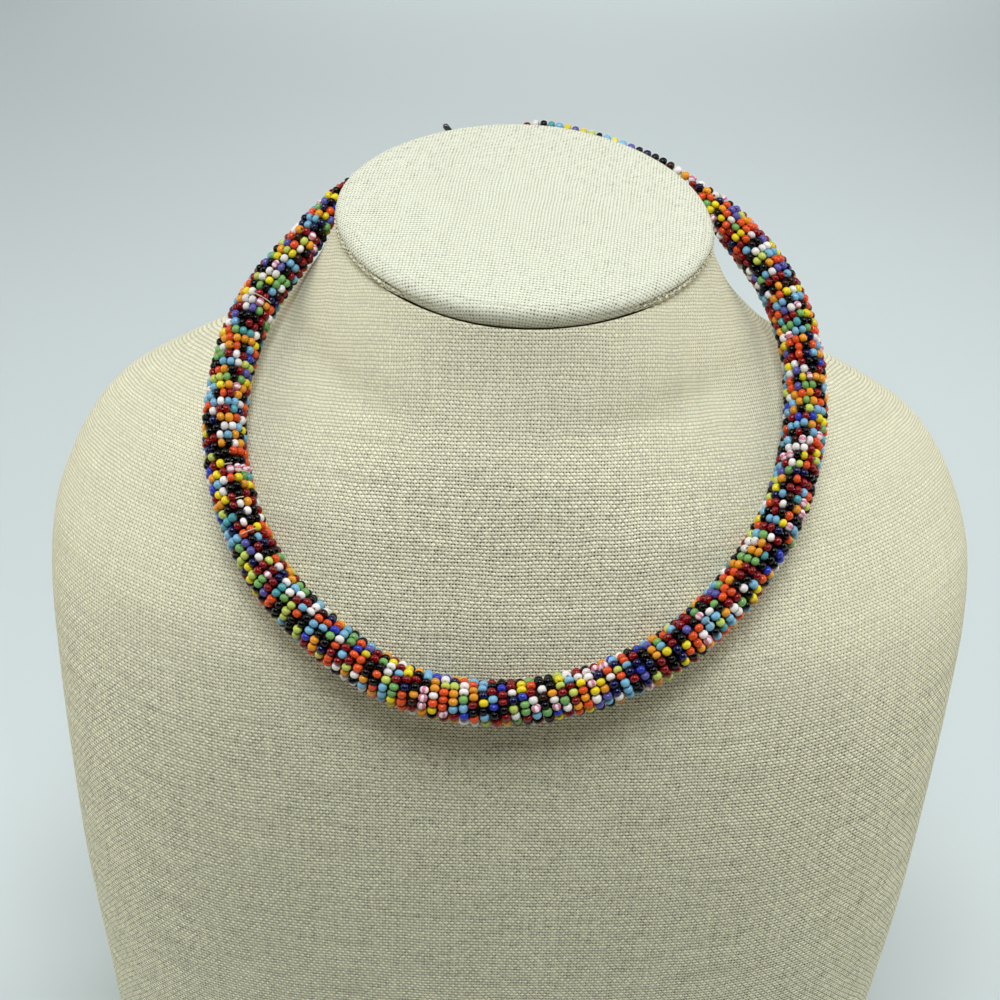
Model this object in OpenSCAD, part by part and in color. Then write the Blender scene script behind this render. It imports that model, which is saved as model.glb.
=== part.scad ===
// A beaded rope collar on its linen neck bust.
// Millimetres, +Z up. The bust stands on z = 0 and its chest faces -Y.

/* [Bust] */
// Angle that the neck's top slopes down towards the chest
cap_tilt = 10; // [0:1:12]
// Height of the middle of the neck's top, without its padding
neck_top = 271.5; // [266:0.5:271.5]
// Width of the padded oval cap
cap_w = 89; // [88.5:0.5:93]
// Depth of the padded oval cap, front to back
cap_depth = 81.5; // [81:0.5:86]
// Angle that the oval cap and the neck's top are turned clockwise, seen from above
cap_turn = 9; // [6:1:10]
// Thickness of the cap at its rim
cap_rim = 5; // [4:0.5:7]
// Rise of the cap's padding from its rim to its middle
cap_crown = 2.5; // [1:0.5:4]

/* [Collar] */
// Thickness of the beaded rope
rope_d = 10.6; // [9:0.1:10.8]
// Angle of the collar's plane, low at the chest and high at the nape
collar_tilt = 35; // [34:0.25:35]
// Height of the collar's centre line at the nape
nape_z = 282; // [282:1:286]
// Distance of the collar's centre line at the nape behind the origin
nape_y = 66; // [65:0.5:66]
// How far the collar hangs off the middle
collar_shift = 1; // [0.5:0.25:1]
// Outer size of one seed bead
bead_d = 2.3; // [2:0.1:2.6]

/* [Clasp] */
// Thickness of the clasp's loop
clasp_wire = 1.4; // [1.2:0.1:1.6]
// Length of the clasp's loop
clasp_len = 11.5; // [9:0.5:12]
// Width of the clasp's loop
clasp_w = 6; // [5:0.5:7]
// Outer size of the end ring
ring_d = 6; // [5.5:0.5:6.5]
// Thickness of the end ring's wire
ring_wire = 1; // [0.8:0.1:1.1]
// Thickness of the thread that ties the strands to the clasp and the ring
thread_d = 0.7; // [0.5:0.1:0.8]

/* [Hidden] */
body_sides = 56;
body_steps = 3;
cap_sides = 56;
rope_sides = 12;
rope_steps = 3;
strand_sides = 8;
strand_steps = 4;
seam_gap = 0.2;
cap_square = 1.9;
$fn = 32;

// One row for each level of the bust: height, half width, front and back at
// the middle, squareness of the outline, how far back its widest points lie,
// and how far the level follows the slope, height and turn of the neck's top
//    height  half  front  back  square  side  follow
LEVELS = [
    [  0,      98,   -63,   50,   2.9,    10,   0],
    [ 35,     103,   -65,   54,   2.9,    10,   0],
    [ 70,     106.5, -66,   57,   2.9,    10,   0],
    [105,     110,   -65,   60,   2.9,    10,   0],
    [140,     112.5, -63,   62,   2.8,    11,   0],
    [163,     114.5, -60,   64,   2.6,    13,   0],
    [180,     116,   -57,   65,   2.4,    16,   0],
    [194,     115.5, -54.5, 66,   2.2,    20,   0],
    [205,     112,   -50.5, 66,   2,      24,   0],
    [214,     107,   -46,   66,   1.9,    28,   0],
    [221,     100.5, -42.5, 66,   1.9,    31,   0],
    [228,      89.5, -39,   66,   1.8,    32,   0],
    [234.5,    76.5, -36,   66,   1.8,    31,   0.1],
    [241,      65,   -33,   66,   1.8,    28,   0.3],
    [247,      58,   -30,   65.5, 1.8,    26,   0.5],
    [254,      52,   -26.8, 64.8, 1.9,    22,   0.7],
    [262,      47.6, -23.4, 63.2, 1.95,   20.2, 0.9],
    [271.5,    43.7, -19.8, 60.5, 1.9,    20.3, 1]
];
rim = LEVELS[len(LEVELS) - 1];
neck_back = (rim[2] + rim[3]) / 2;

// The padded cap's edge: share of its half width, and height above its seam
//    share   height
PAD = [
    [0.99,    0],
    [0.998,   0.2 * cap_rim],
    [1,       0.42 * cap_rim],
    [0.995,   0.64 * cap_rim],
    [0.98,    0.82 * cap_rim],
    [0.955,   0.94 * cap_rim],
    [0.91,    cap_rim + 0.06 * cap_crown],
    [0.6,     cap_rim + 0.6 * cap_crown],
    [0.3,     cap_rim + 0.9 * cap_crown],
    [0.02,    cap_rim + cap_crown]
];

// The collar's route from the end ring round the chest to the clasp: distance
// to the right, distance behind the nape in the collar's plane, rise above that
// plane where the rope rides over the shoulders, and the rope's share of its
// full thickness
//    right    behind   rise   share
ROUTE = [
    [    -5,     -3.6,  -1.8,     0],
    [     2,     -1.7,  -0.3,     0],
    [    20,     -6.5,   0.5,     0],
    [    37,    -15.1,     1,     0],
    [  49.6,      -30,   1.5,  0.86],
    [  60.4,    -46.2,   2.4,     1],
    [    66,      -63,   2.7,     1],
    [  66.8,    -82.5,   4.2,     1],
    [  63.3,   -102.5,   6.5,     1],
    [  56.3,     -119,   6.7,     1],
    [  45.5,     -134,   5.2,     1],
    [  31.5,   -145.5,   3.4,     1],
    [    14,   -152.5,   1.2,     1],
    [  -4.5,     -155,   0.2,     1],
    [   -23,     -152,   1.2,     1],
    [ -39.3,   -142.7,   3.2,     1],
    [ -52.2,   -130.7,   4.7,     1],
    [ -61.3,   -115.3,     6,     1],
    [ -66.7,    -97.5,     6,     1],
    [ -67.2,    -77.5,   4.4,     1],
    [ -63.2,    -59.2,   3.9,     1],
    [ -53.9,    -42.4,   4.6,  0.81],
    [ -46.2,      -27,   2.9,  0.37],
    [   -36,      -15,     1,     0],
    [ -27.5,     -9.4,   0.2,     0]
];
rope_first = 3;
rope_last = 22;
route_last = len(ROUTE) - 1;

// The clasp hangs from its eye, just past the left strand's last bead
clasp_at = [-23, -7, 0];
clasp_turn = 12;
eye_r = 1.2;
eye_wire = 0.9;
eye_drop = 0.9;
loop_r = (clasp_w - clasp_wire) / 2;
loop_from = 1.3 + loop_r;
loop_to = 1.3 + clasp_len - clasp_wire - loop_r;
lever_d = 1.5;
lever_len = 5.2;
lever_lean = 22;
ring_r = (ring_d - ring_wire) / 2;
link_gap = 0.15;
thread_gap = 0.35;
ring_x = loop_to + loop_r - clasp_wire / 2 - ring_wire / 2 - link_gap + ring_r;

function mix(a, b, t) = a + (b - a) * t;

// The smooth curve from row b to row c of a table, at t from 0 to 1
function curve(a, b, c, d, t) =
    (2 * b + (c - a) * t + (2 * a - 5 * b + 4 * c - d) * t * t
     + (3 * b - a - 3 * c + d) * t * t * t) / 2;

// The row at place i of a table, where i may fall between two rows
function row_at(rows, i) = let (
        last = len(rows) - 1,
        k = min(floor(i), last - 1)
    ) curve(rows[max(k - 1, 0)], rows[k], rows[k + 1], rows[min(k + 2, last)], i - k);

// The part of a table from place i to place j, with more rows on its curve
function stretch(rows, i, j, steps) = [for (k = [0 : (j - i) * steps]) row_at(rows, i + k / steps)];

function power(v, p) = sign(v) * pow(abs(v), p);

function unit(v) = v / norm(v);

// A point of a plane, turned to the left round the plane's origin
function turned(p, angle) =
    [p[0] * cos(angle) - p[1] * sin(angle), p[0] * sin(angle) + p[1] * cos(angle)];

// The closed skin over a list of rings that all have the same sides
module skin(rings) {
    sides = len(rings[0]);
    last = len(rings) - 1;
    polyhedron(
        points = [for (ring = rings) each ring],
        faces = [
            [for (i = [0 : sides - 1]) i],
            for (r = [0 : last - 1], i = [0 : sides - 1]) let (
                j = (i + 1) % sides,
                a = r * sides,
                b = a + sides
            ) each [[a + i, b + j, a + j], [a + i, b + i, b + j]],
            [for (i = [sides - 1 : -1 : 0]) last * sides + i]
        ]
    );
}

// A round tube along a path near the collar's plane, with its own radius at
// each point
module tube(path, radii, sides) {
    last = len(path) - 1;
    skin([for (i = [0 : last]) let (
        step = unit(path[min(i + 1, last)] - path[max(i - 1, 0)]),
        side = unit(cross([0, 0, 1], step)),
        up = cross(step, side)
    ) [for (k = [0 : sides - 1]) let (a = 360 * k / sides)
        path[i] + radii[i] * (cos(a) * side + sin(a) * up)]]);
}

// A path that stops a small gap before its last point
function cut_back(path, gap) = let (
        last = len(path) - 1,
        step = unit(path[last] - path[last - 1])
    ) [for (i = [0 : last]) i < last ? path[i] : path[i] - step * gap];

function reversed(list) = [for (i = [len(list) - 1 : -1 : 0]) list[i]];

// Places its children in the collar's plane, with the nape at the origin
module in_collar() {
    translate([collar_shift, nape_y, nape_z]) rotate([collar_tilt, 0, 0]) children();
}

// The outline of the bust at one row of the table of levels
function outline(row) = let (
        middle = (row[2] + row[3]) / 2,
        deep = (row[3] - row[2]) / 2,
        p = 2 / row[4]
    ) [for (i = [0 : body_sides - 1]) let (
        a = 360 * i / body_sides,
        x = power(cos(a), p),
        y = middle + deep * power(sin(a), p) + (row[5] - middle) * x * x,
        place = turned([row[1] * x, y - neck_back], -row[6] * cap_turn)
    ) [place[0], neck_back + place[1],
        row[0] + row[6] * (neck_top - rim[0] + place[1] * tan(cap_tilt))]];

module bust_body() {
    color("#cfc6b0") skin([
        for (row = stretch(LEVELS, 0, len(LEVELS) - 1, body_steps)) outline(row)
    ]);
}

module neck_cap() {
    color("#e0dac8")
        translate([0, neck_back, neck_top]) rotate([cap_tilt, 0, 0]) translate([0, 0, seam_gap])
            rotate([0, 0, -cap_turn])
                skin([for (row = PAD) [for (i = [0 : cap_sides - 1]) let (
                    a = 360 * i / cap_sides,
                    p = 2 / cap_square
                ) [cap_w / 2 * row[0] * power(cos(a), p), cap_depth / 2 * row[0] * power(sin(a), p),
                    row[1]]]]);
}

// The places in a table of rows, without what else its rows say
function places(rows) = [for (row = rows) [row[0], row[1], row[2]]];

module bead_rope() {
    rows = stretch(ROUTE, rope_first, rope_last, rope_steps);
    color("#3c4a66") in_collar()
        tube(places(rows), [for (row = rows) mix(bead_d, rope_d, row[3]) / 2], rope_sides);
}

// A strand of single beads that starts from a bare end of its thread
module strand(thread_end, beads) {
    start = beads[0] - unit(beads[1] - beads[0]) * bead_d / 4;
    path = concat([thread_end, start], beads);
    color("#54697f") in_collar()
        tube(path, [for (i = [0 : len(path) - 1]) (i < 2 ? thread_d : bead_d) / 2], strand_sides);
}

module right_strand() {
    strand(in_clasp([ring_x + ring_r + ring_wire / 2 + thread_gap, 0, -loop_r]),
        cut_back(places(stretch(ROUTE, 0, rope_first, strand_steps)), thread_gap));
}

module left_strand() {
    strand(in_clasp([-eye_r - eye_wire / 2 - thread_gap, 0, -eye_drop]),
        cut_back(reversed(places(stretch(ROUTE, rope_last, route_last, strand_steps))), thread_gap));
}

// A point of the clasp's own frame in the collar's plane
function in_clasp(p) = clasp_at + [
    p[0] * cos(clasp_turn) - p[1] * sin(clasp_turn),
    p[0] * sin(clasp_turn) + p[1] * cos(clasp_turn),
    p[2]
];

module place_clasp() {
    in_collar() translate(clasp_at) rotate([0, 0, clasp_turn]) children();
}

module wire_ring(radius, wire, angle = 360) {
    rotate_extrude(angle = angle) translate([radius, 0]) circle(d = wire);
}

module lobster_clasp() {
    color("#4b4b4e") place_clasp() {
        translate([0, 0, -eye_drop]) rotate([90, 0, 0]) wire_ring(eye_r, eye_wire);
        translate([0, 0, -loop_r]) {
            translate([loop_from, 0, 0]) rotate([90, 0, 0]) rotate([0, 0, 90])
                wire_ring(loop_r, clasp_wire, 180);
            translate([loop_to, 0, 0]) rotate([90, 0, 0]) rotate([0, 0, -90])
                wire_ring(loop_r, clasp_wire, 180);
            for (side = [-1, 1]) translate([loop_from, 0, side * loop_r]) rotate([0, 90, 0])
                cylinder(d = clasp_wire, h = loop_to - loop_from);
        }
        translate([loop_from - loop_r / 2, 0, 0]) rotate([0, -lever_lean, 0]) {
            cylinder(d = lever_d, h = lever_len - lever_d / 2);
            translate([0, 0, lever_len - lever_d / 2]) sphere(d = lever_d);
        }
    }
}

module end_ring() {
    color("#6a6a6e") place_clasp() translate([ring_x, 0, -loop_r]) wire_ring(ring_r, ring_wire);
}

bust_body();
neck_cap();
bead_rope();
right_strand();
left_strand();
lobster_clasp();
end_ring();
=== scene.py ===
"""A beaded rope collar on its linen neck bust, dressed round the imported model.

The bust's linen, the seed beads with their core and thread, and the clasp's finish are made
here, in metres, in the model's own frame: the chest faces -Y and the base stands on z = 0.
"""

import logging
import math
from dataclasses import dataclass, field
from enum import Enum

import bpy
import numpy as np
from mathutils import Matrix, Vector


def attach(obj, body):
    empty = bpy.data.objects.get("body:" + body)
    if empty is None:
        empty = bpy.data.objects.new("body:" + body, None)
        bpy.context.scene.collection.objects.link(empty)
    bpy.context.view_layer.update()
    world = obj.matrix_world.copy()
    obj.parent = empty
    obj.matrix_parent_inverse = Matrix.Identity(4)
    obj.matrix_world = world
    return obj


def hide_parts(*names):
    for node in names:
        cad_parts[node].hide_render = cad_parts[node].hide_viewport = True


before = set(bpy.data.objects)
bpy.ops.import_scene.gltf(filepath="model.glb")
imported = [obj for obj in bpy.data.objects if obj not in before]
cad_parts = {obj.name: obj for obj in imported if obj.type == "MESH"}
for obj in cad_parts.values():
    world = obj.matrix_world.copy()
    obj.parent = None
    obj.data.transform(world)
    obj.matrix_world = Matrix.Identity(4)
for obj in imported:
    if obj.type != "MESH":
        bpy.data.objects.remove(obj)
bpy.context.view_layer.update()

LOG = logging.getLogger("collar")
MATH = "ShaderNodeMath"
VECTOR_MATH = "ShaderNodeVectorMath"
NOISE = "ShaderNodeTexNoise"
RANGE = "ShaderNodeMapRange"
MIX = "ShaderNodeMix"
COLOURS = {"out": 2, "data_type": "RGBA"}
SEED = 17
BODY = "root"

# One row for each level of the bust: height, half width, front and back at the middle,
# squareness of the outline, how far back its widest points lie, and how far the level
# follows the slope and turn of the neck's top
LEVELS = np.array([
    # height  half    front    back    square side   follow
    (0.0000, 0.0980, -0.0630, 0.0500, 2.9, 0.010, 0.0),
    (0.0350, 0.1030, -0.0650, 0.0540, 2.9, 0.010, 0.0),
    (0.0700, 0.1065, -0.0660, 0.0570, 2.9, 0.010, 0.0),
    (0.1050, 0.1100, -0.0650, 0.0600, 2.9, 0.010, 0.0),
    (0.1400, 0.1125, -0.0630, 0.0620, 2.8, 0.011, 0.0),
    (0.1630, 0.1145, -0.0600, 0.0640, 2.6, 0.013, 0.0),
    (0.1800, 0.1160, -0.0570, 0.0650, 2.4, 0.016, 0.0),
    (0.1940, 0.1155, -0.0545, 0.0660, 2.2, 0.020, 0.0),
    (0.2050, 0.1120, -0.0505, 0.0660, 2.0, 0.024, 0.0),
    (0.2140, 0.1070, -0.0460, 0.0660, 1.9, 0.028, 0.0),
    (0.2210, 0.1005, -0.0425, 0.0660, 1.9, 0.031, 0.0),
    (0.2280, 0.0895, -0.0390, 0.0660, 1.8, 0.032, 0.0),
    (0.2345, 0.0765, -0.0360, 0.0660, 1.8, 0.031, 0.1),
    (0.2410, 0.0650, -0.0330, 0.0660, 1.8, 0.028, 0.3),
    (0.2470, 0.0580, -0.0300, 0.0655, 1.8, 0.026, 0.5),
    (0.2540, 0.0520, -0.0268, 0.0648, 1.9, 0.022, 0.7),
    (0.2620, 0.0476, -0.0234, 0.0632, 1.95, 0.0202, 0.9),
    (0.2715, 0.0437, -0.0198, 0.0605, 1.9, 0.0203, 1.0),
])

# The padded cap's edge: share of its half width, and height above its seam
PAD = np.array([
    # share  height
    (0.990, 0.0000),
    (0.998, 0.0010),
    (1.000, 0.0021),
    (0.995, 0.0032),
    (0.980, 0.0041),
    (0.955, 0.0047),
    (0.910, 0.00515),
    (0.600, 0.0065),
    (0.300, 0.00725),
    (0.004, 0.0075),
])

# The collar's route in its own plane, from the end ring round the chest to the clasp:
# distance to the right, distance behind the nape, rise over the shoulders, and the rope's
# share of its full thickness
ROUTE = np.array([
    # right    behind   rise     share
    (-0.0050, -0.0036, -0.0018, 0.0),
    (0.0020, -0.0017, -0.0003, 0.0),
    (0.0200, -0.0065, 0.0005, 0.0),
    (0.0370, -0.0151, 0.0010, 0.0),
    (0.0496, -0.0300, 0.0015, 0.86),
    (0.0604, -0.0462, 0.0024, 1.0),
    (0.0660, -0.0630, 0.0027, 1.0),
    (0.0668, -0.0825, 0.0042, 1.0),
    (0.0633, -0.1025, 0.0065, 1.0),
    (0.0563, -0.1190, 0.0067, 1.0),
    (0.0455, -0.1340, 0.0052, 1.0),
    (0.0315, -0.1455, 0.0034, 1.0),
    (0.0140, -0.1525, 0.0012, 1.0),
    (-0.0045, -0.1550, 0.0002, 1.0),
    (-0.0230, -0.1520, 0.0012, 1.0),
    (-0.0393, -0.1427, 0.0032, 1.0),
    (-0.0522, -0.1307, 0.0047, 1.0),
    (-0.0613, -0.1153, 0.0060, 1.0),
    (-0.0667, -0.0975, 0.0060, 1.0),
    (-0.0672, -0.0775, 0.0044, 1.0),
    (-0.0632, -0.0592, 0.0039, 1.0),
    (-0.0539, -0.0424, 0.0046, 0.81),
    (-0.0462, -0.0270, 0.0029, 0.37),
    (-0.0360, -0.0150, 0.0010, 0.0),
    (-0.0275, -0.0094, 0.0002, 0.0),
])
ROPE_FIRST = 3
ROPE_LAST = 22

# Where the stringing thread shows on top of the beads: place on the route, and the angles
# round the rope between which it lies, in degrees
BARE_THREAD = (
    (10.11, 34, 52), (16.62, 54, 94), (17.07, 76, 96), (17.43, 106, 128), (17.54, 76, 94),
    (19.94, 96, 152),
)


def linear(hex_colour: str) -> tuple[float, float, float, float]:
    """Turns an sRGB hex colour to linear values.

    Args:
        hex_colour: the colour, such as "#EFEBDC"

    Returns: red, green, blue and an alpha of 1
    """
    channels = [int(hex_colour[i:i + 2], 16) / 255 for i in (1, 3, 5)]
    curve = [c / 12.92 if c <= 0.04045 else ((c + 0.055) / 1.055) ** 2.4 for c in channels]
    return (*curve, 1.0)


def add(tree: bpy.types.NodeTree, kind: str, inputs: dict | None = None, out: int | str = 0,
        **settings) -> bpy.types.NodeSocket | None:
    """Adds one node, with its settings and what feeds its sockets.

    Args:
        tree: the node tree that gets the node
        kind: the node's type
        inputs: socket name or number to a value, or to the socket that feeds it
        out: the output that is returned
        settings: the node's own properties

    Returns: one of the new node's outputs, or nothing for a node that has none
    """
    node = tree.nodes.new(kind)
    for name, value in settings.items():
        setattr(node, name, value)
    for key, value in (inputs or {}).items():
        if isinstance(value, bpy.types.NodeSocket):
            tree.links.new(value, node.inputs[key])
        else:
            node.inputs[key].default_value = value
    return node.outputs[out] if node.outputs else None


def new_material(name: str) -> tuple[bpy.types.Material, bpy.types.NodeTree]:
    """Makes an empty material and its tree."""
    material = bpy.data.materials.new(name)
    material.use_nodes = True
    material.node_tree.nodes.clear()
    return material, material.node_tree


def finish_material(tree: bpy.types.NodeTree, inputs: dict) -> None:
    """Adds the main shader and the output to a material's tree.

    Args:
        tree: the material's tree
        inputs: the shader's sockets and what they get
    """
    shader = add(tree, "ShaderNodeBsdfPrincipled", inputs)
    add(tree, "ShaderNodeOutputMaterial", {"Surface": shader})


def read_rows(rows: np.ndarray, places: np.ndarray) -> np.ndarray:
    """Reads a table at places that may fall between its rows, on one smooth curve.

    Args:
        rows: the table
        places: row numbers, with fractions

    Returns: one row of values for each place
    """
    last = len(rows) - 1
    k = np.clip(np.floor(places).astype(int), 0, last - 1)
    a, b = rows[np.maximum(k - 1, 0)], rows[k]
    c, d = rows[k + 1], rows[np.minimum(k + 2, last)]
    t = (places - k)[:, None]
    return (2 * b + (c - a) * t + (2 * a - 5 * b + 4 * c - d) * t ** 2
            + (3 * b - a - 3 * c + d) * t ** 3) / 2


def signed_power(values: np.ndarray, power: float | np.ndarray) -> np.ndarray:
    """Raises values to a power and keeps their signs."""
    return np.sign(values) * np.abs(values) ** power


def turned(x: np.ndarray, y: np.ndarray,
           angle: float | np.ndarray) -> tuple[np.ndarray, np.ndarray]:
    """Turns points of a plane to the left round its origin."""
    return x * np.cos(angle) - y * np.sin(angle), x * np.sin(angle) + y * np.cos(angle)


def unit(vectors: np.ndarray) -> np.ndarray:
    """Vectors of length 1."""
    return vectors / np.maximum(np.linalg.norm(vectors, axis=-1, keepdims=True), 1e-12)


def steps_along(path: np.ndarray) -> np.ndarray:
    """The distance along a path at each of its points."""
    return np.concatenate([[0.0], np.cumsum(np.linalg.norm(np.diff(path, axis=0), axis=1))])


def ring_faces(rings: int, sides: int) -> np.ndarray:
    """The quads that join rings of points.

    Args:
        rings: how many rings there are
        sides: how many points each closed ring has

    Returns: four point numbers for each quad
    """
    i = np.arange(sides)
    start = np.arange(rings - 1)[:, None] * sides
    a, b = start + i, start + (i + 1) % sides
    return np.stack([a, b, b + sides, a + sides], -1).reshape(-1, 4)


def closed_faces(rings: int, sides: int) -> list:
    """The faces that join rings of points, with one more face over each end."""
    last = (rings - 1) * sides
    ends = [list(range(sides))[::-1], [last + i for i in range(sides)]]
    return ring_faces(rings, sides).tolist() + ends


def read_at(places: np.ndarray, along: np.ndarray, vectors: np.ndarray) -> np.ndarray:
    """Reads vectors, known at the distances in along, at other distances."""
    return np.stack([np.interp(places, along, vectors[:, k]) for k in range(3)], -1)


def new_piece(name: str, points: np.ndarray, faces: list, material: bpy.types.Material) -> bpy.types.Object:
    """Makes a smooth piece that rides on the model's one body.

    Args:
        name: the piece's name
        points: its points, in metres
        faces: point numbers of each face
        material: its finish

    Returns: the new object
    """
    mesh = bpy.data.meshes.new(name)
    mesh.from_pydata(points.tolist(), [], faces)
    mesh.shade_smooth()
    mesh.materials.append(material)
    piece = bpy.data.objects.new(name, mesh)
    bpy.context.scene.collection.objects.link(piece)
    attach(piece, BODY)
    LOG.info("%s: %d faces", name, len(faces))
    return piece


def put_attribute(piece: bpy.types.Object, name: str, kind: str, domain: str,
                  values: np.ndarray) -> None:
    """Stores values that the piece's material reads.

    Args:
        piece: the object
        name: the attribute's name
        kind: FLOAT or FLOAT_VECTOR
        domain: POINT or CORNER
        values: one value or vector for each point or corner
    """
    attribute = piece.data.attributes.new(name, kind, domain)
    key = "value" if kind == "FLOAT" else "vector"
    attribute.data.foreach_set(key, values.astype(np.float32).ravel())


def tube(path: np.ndarray, radii: np.ndarray, sides: int) -> tuple[np.ndarray, list]:
    """A closed round tube along a path.

    Args:
        path: the centre line
        radii: the tube's radius at each of its points
        sides: how many sides it has

    Returns: its points and its faces
    """
    step = unit(np.gradient(path, axis=0))
    across = unit(np.cross(np.array([0.0, 0.3, 1.0]), step))
    above = np.cross(step, across)
    angle = np.linspace(0, 2 * math.pi, sides, endpoint=False)[:, None]
    ring = np.cos(angle) * across[:, None] + np.sin(angle) * above[:, None]
    points = path[:, None] + radii[:, None, None] * ring
    return points.reshape(-1, 3), closed_faces(len(path), sides)


@dataclass(frozen=True)
class Linen:
    """Natural linen in plain weave, half bleached, with the small open holes of a loose cloth.

    It is matt. The weft is thick and light and the warp thinner and darker, partly in its own tone and
    partly by painted shade of the lower crossings, so the weft shows as fine ribs of bright lumps, with
    leaning darker spots between them where the warp is on top. The flanks of the threads get a painted
    browner shade, for the shade there and the light that comes back from thread to thread, and the holes
    get a painted dark shade.
    """

    weft: str = "#F6F4D9"
    warp: str = "#D1CFB1"
    # Painted browner shade on the threads' flanks
    flank_shade: str = "#A19A73"
    # Painted dark shade in the holes of the weave
    hole: str = "#28230A"
    hole_width: float = 0.42
    hole_height: float = 0.36
    hole_spread: float = 0.3
    hole_edge: float = 0.35
    hole_scale: float = 0.45
    hole_drift: float = 0.2
    crimp: float = 0.18
    lean: float = 0.5
    stray: float = 1.2
    stray_scale: float = 0.08
    shading: float = 0.15
    roundness: float = 0.5
    warp_shows: float = 0.45
    unevenness: float = 0.16
    slubs: float = 0.14
    slub_scale: float = 0.9
    patchiness: float = 0.07
    evening: float = 0.85
    calming: float = 0.6
    tightening: float = 0.9
    flattening: float = 0.85
    relief: float = 0.00022

    def material(self, name: str) -> bpy.types.Material:
        """Builds the cloth from the piece's own weave coordinates, in threads.

        Args:
            name: the material's name

        Returns: the material
        """
        material, tree = new_material(name)
        place = add(tree, "ShaderNodeAttribute", out="Vector", attribute_name="weave")
        # Cloth drawn tight over a curve is flatter and more even. A piece without it has 0
        tight = add(tree, "ShaderNodeAttribute", out="Fac", attribute_name="tight")
        # Threads stray from their line by a third of their spacing, over about 12 threads
        drift = add(tree, NOISE, {"Vector": place, "Scale": self.stray_scale, "Detail": 1.5},
                    out="Color")
        drift = add(tree, VECTOR_MATH, {0: drift, 1: (0.5, 0.5, 0.5)}, operation="SUBTRACT")
        strayed = add(tree, VECTOR_MATH, {0: drift, 1: (self.stray, self.stray, 0.0), 2: place},
                      operation="MULTIPLY_ADD")
        across = add(tree, "ShaderNodeSeparateXYZ", {0: strayed}, out="X")
        along = across.node.outputs["Y"]
        # The twist of the yarn makes each crossing lean to the left over its own row
        part = add(tree, MATH, {0: along}, operation="FRACT")
        leaning = add(tree, MATH, {0: part, 1: self.lean, 2: across}, operation="MULTIPLY_ADD")
        leaning = add(tree, MATH, {0: leaning, 1: -self.lean / 2}, operation="ADD")
        size, heights = self.threads(tree, {"warp": leaning, "weft": along, "between": across})
        top = add(tree, MATH, heights, operation="MAXIMUM")
        warp_on_top = add(tree, MATH, heights, operation="GREATER_THAN")
        even = add(tree, MATH, {0: tight, 1: self.evening}, operation="MULTIPLY")
        # Where the warp is on top, its darker colour is partly its own tone and partly painted shade of
        # those lower crossings, evened out where the cloth is tight
        darker = add(tree, MIX, {0: even, 2: warp_on_top, 3: self.warp_shows})
        cloth = add(tree, MIX, {0: darker, 6: linear(self.weft), 7: linear(self.warp)}, **COLOURS)
        # Painted shade: the threads' flanks, low on the relief, are mixed towards a browner colour, less
        # where the cloth is tight
        flank_shade = add(tree, RANGE, {"Value": top, "From Min": 0.5, "From Max": 1.0,
                                  "To Min": self.shading, "To Max": 0.0},
                    interpolation_type="SMOOTHSTEP")
        flank_shade = add(tree, MIX, {0: even, 2: flank_shade, 3: self.shading / 2})
        cloth = add(tree, MIX, {0: flank_shade, 6: cloth, 7: linear(self.flank_shade)}, **COLOURS)
        # Single threads differ in tone: the noise is long along a thread and short across
        warp_tone = self.thread_tone(tree, strayed, (0.8, 0.03, 1.0))
        weft_tone = self.thread_tone(tree, strayed, (0.03, 0.8, 1.0))
        tone = add(tree, MIX, {0: warp_on_top, 2: weft_tone, 3: warp_tone})
        # Flax is thick and thin along each thread, so single crossings stand out
        lumps = add(tree, NOISE, {"Vector": place, "Scale": self.slub_scale, "Detail": 1.0})
        lumps = add(tree, RANGE, {"Value": lumps, "From Min": 0.3, "From Max": 0.7,
                                  "To Min": -self.slubs, "To Max": self.slubs})
        tone = add(tree, MATH, {0: tone, 1: lumps}, operation="ADD")
        crossing = add(tree, "ShaderNodeCombineXYZ", {0: leaning, 1: along})
        patches = self.by_cell(tree, crossing, 0.0, -self.patchiness, self.patchiness)
        tone = add(tree, MATH, {0: tone, 1: patches}, operation="ADD")
        calm = add(tree, MATH, {0: tight, 1: self.calming}, operation="MULTIPLY")
        tone = add(tree, MIX, {0: calm, 2: tone, 3: 1.0})
        cloth = add(tree, "ShaderNodeHueSaturation", {"Color": cloth, "Value": tone})
        # Painted shade: the holes are filled with a dark colour for the shade inside them
        gap = self.gap(tree, place, strayed, tight, size)
        colour = add(tree, MIX, {0: gap, 6: cloth, 7: linear(self.hole)}, **COLOURS)
        depth = add(tree, MATH, {0: tight, 1: -self.flattening * self.relief, 2: self.relief},
                    operation="MULTIPLY_ADD")
        bump = add(tree, "ShaderNodeBump", {"Height": top, "Distance": depth})
        finish_material(tree, {"Base Color": colour, "Roughness": 0.95, "Normal": bump,
                               "Specular IOR Level": 0.05})
        return material

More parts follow.
